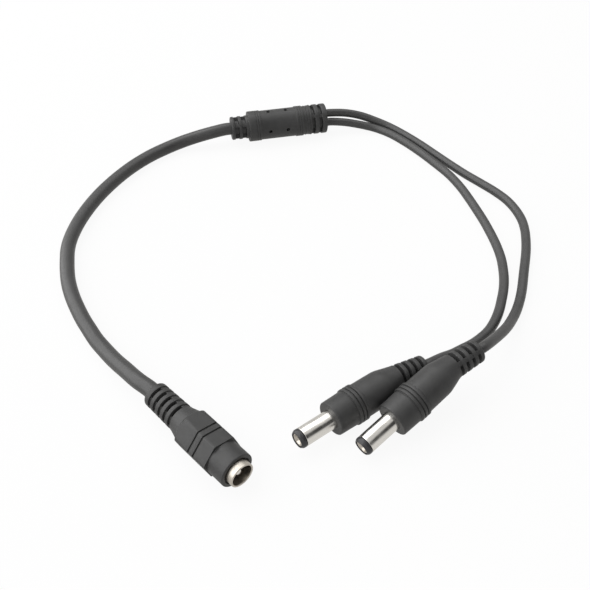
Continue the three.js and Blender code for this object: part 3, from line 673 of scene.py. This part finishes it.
def cut(target, cutters):
    for cutter in cutters:
        change = target.modifiers.new("cut", "BOOLEAN")
        change.operation = "DIFFERENCE"
        change.solver = "EXACT"
        change.object = cutter
    graph = bpy.context.evaluated_depsgraph_get()
    data = bpy.data.meshes.new_from_object(target.evaluated_get(graph))
    target.modifiers.clear()
    target.data = data
    for cutter in cutters:
        bpy.data.objects.remove(cutter)


def build_block():
    b = BLOCK
    place = straight(BLOCK_PLACE)
    extra = []
    depths = []
    lines = []
    for end in ("trunk", "branch"):
        slots = [soft_steps(start, start + b[f"{end}_slot_width"]) for start in b[f"{end}_slots"]]
        radius = b[f"{end}_relief"] / 2
        spine_lines, share = arc_shares(between_spines(b["spine_width"], radius, b["spine_turns"]), radius)
        lines += spine_lines
        depths.append(relief_depth(slots, b[f"{end}_slot_core"], share))
        extra += [station for steps in slots for station, _ in steps]
    angles = merged([a % 360 for a in even_angles(120) + lines], 0.4)

    def depth(station, angle, radius):
        return max(one(station, angle, radius) for one in depths)

    lip = b["line_lip"]
    slope = b["line_slope"]
    floor = b["collar"] / 2 - b["line_depth"]

    def fine_lines(starts):
        """Shallow lines round a collar."""
        return [part for start in starts for part in (
            (start, b["collar"] / 2, lip), (start + slope, floor),
            (start + b["line_width"] - slope, floor), (start + b["line_width"], b["collar"] / 2, lip))]

    ridges = [part for start in b["ridges"] for part in (
        (start, b["neck"] / 2), (start + 0.05, b["neck"] / 2 + b["line_depth"], lip),
        (start + b["ridge_width"] - 0.05, b["neck"] / 2 + b["line_depth"], lip),
        (start + b["ridge_width"], b["neck"] / 2))]
    outer = outer_line([
        (0, b["trunk_bore"] / 2), (0, b["trunk_relief"] / 2, b["edge"]),
        (b["trunk_relief_length"], b["trunk_relief"] / 2, 0.08),
        (b["trunk_relief_length"] + STEP, b["collar"] / 2, 0.3),
        *fine_lines(b["trunk_lines"]),
        (b["trunk_collar_end"], b["collar"] / 2, 0.12),
        (b["trunk_collar_end"] + STEP, b["waist"] / 2, 0.08),
        (b["branch_collar_start"] - STEP, b["waist"] / 2, 0.08),
        (b["branch_collar_start"], b["collar"] / 2, 0.12),
        *fine_lines(b["branch_lines"]),
        (b["branch_collar_end"], b["collar"] / 2, 0.15),
        (b["branch_collar_end"] + STEP, b["neck"] / 2, 0.08),
        *ridges,
        (b["branch_relief_start"] - STEP, b["neck"] / 2, 0.08),
        (b["branch_relief_start"], b["branch_relief"] / 2, 0.12),
        (b["length"], b["branch_relief"] / 2, b["edge"]), (b["length"], 0),
    ], extra)
    outer = [(s, r, 0 < i < len(outer) - 1) for i, (s, r) in enumerate(outer)]
    inner = [
        (b["chamber_end"], 0), (b["chamber_end"], b["chamber"] / 2), (b["chamber_start"], b["chamber"] / 2),
        (b["chamber_start"] - RUN, b["trunk_bore"] / 2),
    ]
    rings = revolve(outer + [(s, r, False) for s, r in inner], angles, place, depth)
    made = finished(skin(rings), "splitter_mould_skin", PVC, "splitter_mould")
    cutters = []
    bore_length = b["length"] - b["chamber_end"] + 2
    bore_middle = (b["length"] + b["chamber_end"]) / 2
    along = Matrix.Rotation(math.radians(90), 4, "Y")
    for spot_y, spot_z in branch_spots().values():
        at = Matrix.Translation((bore_middle, spot_y, spot_z))
        cutters.append(cut_cylinder(bore_length, b["branch_bore"] / 2, BLOCK_PLACE @ at @ along))
    hole_length = b["pin_hole_depth"] + 1
    hole_height = b["waist"] / 2 - b["pin_hole_depth"] / 2 + 0.5
    for i in range(4):
        turn = Matrix.Rotation(math.radians(90 * i), 4, "X")
        for station in b["pin_holes"]:
            at = Matrix.Translation((station, 0, hole_height))
            cutters.append(cut_cylinder(hole_length, b["pin_hole"] / 2, BLOCK_PLACE @ turn @ at))
    cut(made, cutters)
    shade_smooth(made)


# The cords
def catmull_rom(points, per_span=8):
    """Points on the centripetal curve through the route, as the solids use it."""
    full = [points[0] * 2 - points[1]] + points + [points[-1] * 2 - points[-2]]
    line = []
    for p0, p1, p2, p3 in zip(full, full[1:], full[2:], full[3:]):
        t0 = 0.0
        t1 = t0 + max((p1 - p0).length, 1e-6) ** 0.5
        t2 = t1 + max((p2 - p1).length, 1e-6) ** 0.5
        t3 = t2 + max((p3 - p2).length, 1e-6) ** 0.5
        for k in range(per_span):
            t = t1 + (t2 - t1) * k / per_span
            a1 = p0 * ((t1 - t) / (t1 - t0)) + p1 * ((t - t0) / (t1 - t0))
            a2 = p1 * ((t2 - t) / (t2 - t1)) + p2 * ((t - t1) / (t2 - t1))
            a3 = p2 * ((t3 - t) / (t3 - t2)) + p3 * ((t - t2) / (t3 - t2))
            b1 = a1 * ((t2 - t) / (t2 - t0)) + a2 * ((t - t0) / (t2 - t0))
            b2 = a2 * ((t3 - t) / (t3 - t1)) + a3 * ((t - t1) / (t3 - t1))
            line.append(b1 * ((t2 - t) / (t2 - t1)) + b2 * ((t - t1) / (t2 - t1)))
    line.append(points[-1])
    return line


def cord_end(matrix, station, y, z):
    """Route points that take a cord straight out of a moulding."""
    outward = -1 if station == 0 else 1
    return [matrix @ Vector((station + outward * out, y, z)) for out in (-1.0, FIT, FIT + RUN)]


def build_cord(name, replaced, start, route, end, diameter):
    """A cord from one moulding to another along its route."""
    points = start + [Vector(p) for p in route] + end[::-1]
    line = [point * MM for point in catmull_rom(points)]
    data = bpy.data.curves.new(name, "CURVE")
    data.dimensions = "3D"
    data.bevel_depth = diameter / 2 * MM
    data.bevel_resolution = 7
    data.use_fill_caps = True
    spline = data.splines.new("POLY")
    spline.points.add(len(line) - 1)
    for spot, point in zip(spline.points, line):
        spot.co = (*point, 1)
    data.materials.append(JACKET)
    made = linked(name, data)
    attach(made, "root")
    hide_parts(replaced)


# Camera, lights and floor
def build_camera():
    data = bpy.data.cameras.new("camera")
    data.sensor_width = SENSOR
    data.lens = FOCAL_SHARE * SENSOR
    data.clip_start = 0.005
    data.clip_end = 20
    made = linked("camera", data)
    aim = Vector(AIM)
    rise = math.radians(ELEVATION)
    made.location = aim + Vector((0, -math.cos(rise), math.sin(rise))) * DISTANCE
    made.rotation_euler = (aim - made.location).to_track_quat("-Z", "Y").to_euler()
    bpy.context.scene.camera = made


def area_light(name, at, size, energy, reflected):
    data = bpy.data.lights.new(name, "AREA")
    data.shape = "RECTANGLE"
    data.size, data.size_y = size
    data.energy = energy
    made = linked(name, data)
    made.location = at
    made.rotation_euler = (-Vector(at)).to_track_quat("-Z", "Y").to_euler()
    made.visible_glossy = reflected


def build_floor():
    """A white floor that keeps a faint shadow, pale in reflections and dull to all other light."""
    mesh = bmesh.new()
    bmesh.ops.create_grid(mesh, x_segments=1, y_segments=1, size=FLOOR_HALF)
    data = bpy.data.meshes.new("floor")
    mesh.to_mesh(data)
    mesh.free()
    made = linked("floor", data)
    made.location.z = -FLOOR_DROP
    look, tree, shader = material("floor", (FLOOR_BOUNCE,) * 3, 0.9, specular=0.0)
    path = node(tree, "ShaderNodeLightPath")

    def blended(share, one, two):
        """One shader, or the other where the share is 1."""
        mixer = node(tree, "ShaderNodeMixShader")
        if isinstance(share, float):
            mixer.inputs[0].default_value = share
        else:
            tree.links.new(share, mixer.inputs[0])
        tree.links.new(one.outputs[0], mixer.inputs[1])
        tree.links.new(two.outputs[0], mixer.inputs[2])
        return mixer

    white = node(tree, "ShaderNodeBsdfDiffuse", Color=(0.9, 0.9, 0.9, 1))
    glow = node(tree, "ShaderNodeEmission", Color=(1, 1, 1, 1), Strength=1.0)
    mirrored = node(tree, "ShaderNodeEmission", Color=(1, 0.985, 0.96, 1), Strength=FLOOR_REFLECTED)
    seen = blended(1 - FLOOR_SHADOW, white, glow)
    other = blended(path.outputs["Is Glossy Ray"], shader, mirrored)
    both = blended(path.outputs["Is Camera Ray"], other, seen)
    tree.links.new(both.outputs[0], tree.nodes["Material Output"].inputs["Surface"])
    data.materials.append(look)


def build_world():
    """A pale room with a dark patch to the right of the camera, which the metal reflects as a stripe."""
    world = bpy.data.worlds.new("studio")
    bpy.context.scene.world = world
    world.use_nodes = True
    tree = world.node_tree
    back = tree.nodes["Background"]
    back.inputs["Color"].default_value = (1, 0.99, 0.97, 1)
    path = node(tree, "ShaderNodeLightPath")
    way = node(tree, "ShaderNodeTexCoord")
    towards = node(tree, "ShaderNodeVectorMath", operation="DOT_PRODUCT")
    tree.links.new(way.outputs["Generated"], towards.inputs[0])
    towards.inputs[1].default_value = DARK_TOWARDS
    room = spread(tree, towards.outputs["Value"], ROOM_REFLECTED, ROOM_DARK,
                  math.cos(math.radians(DARK_OUTER)), math.cos(math.radians(DARK_INNER)))

    def chosen(share, otherwise, then):
        """One value, or another where the share is 1."""
        made = node(tree, "ShaderNodeMix", data_type="FLOAT")
        tree.links.new(share, made.inputs[0])
        for socket, value in ((made.inputs[2], otherwise), (made.inputs[3], then)):
            if isinstance(value, float):
                socket.default_value = value
            else:
                tree.links.new(value, socket)
        return made.outputs[0]

    strength = chosen(path.outputs["Is Glossy Ray"], ROOM_LIGHT, room)
    strength = chosen(path.outputs["Is Transmission Ray"], strength, 1.0)
    strength = chosen(path.outputs["Is Camera Ray"], strength, 1.0)
    tree.links.new(strength, back.inputs["Strength"])


build_camera()
spots = branch_spots()
build_cord("trunk_cord_jacket", "trunk_cord", cord_end(BLOCK_PLACE, 0, 0, 0), TRUNK_ROUTE,
           cord_end(JACK_PLACE, 0, 0, 0), TRUNK_DIAMETER)
for side, route, plug_place in (("right", RIGHT_ROUTE, RIGHT_PLACE), ("left", LEFT_ROUTE, LEFT_PLACE)):
    build_cord(f"{side}_branch_jacket", f"{side}_branch_cord",
               cord_end(BLOCK_PLACE, BLOCK["length"], *spots[side]), route,
               cord_end(plug_place, 0, 0, 0), BRANCH_DIAMETER)
build_jack()
build_plug("right", RIGHT_PLACE, RIGHT_BEND)
build_plug("left", LEFT_PLACE, LEFT_BEND)
build_block()

# Solids shown as they are, with a material
for name, carried in nodes.items():
    if "positive_wire" in name:
        look = RED
    elif "negative_wire" in name:
        look = BLACK
    elif "joint" in name:
        look = SLEEVING
    elif "spring" in name:
        look = NICKEL
    else:
        continue
    carried.data.materials.clear()
    carried.data.materials.append(look)

build_floor()
build_world()
for lamp in LAMPS:
    area_light(*lamp)

bpy.context.scene.view_settings.view_transform = "Standard"
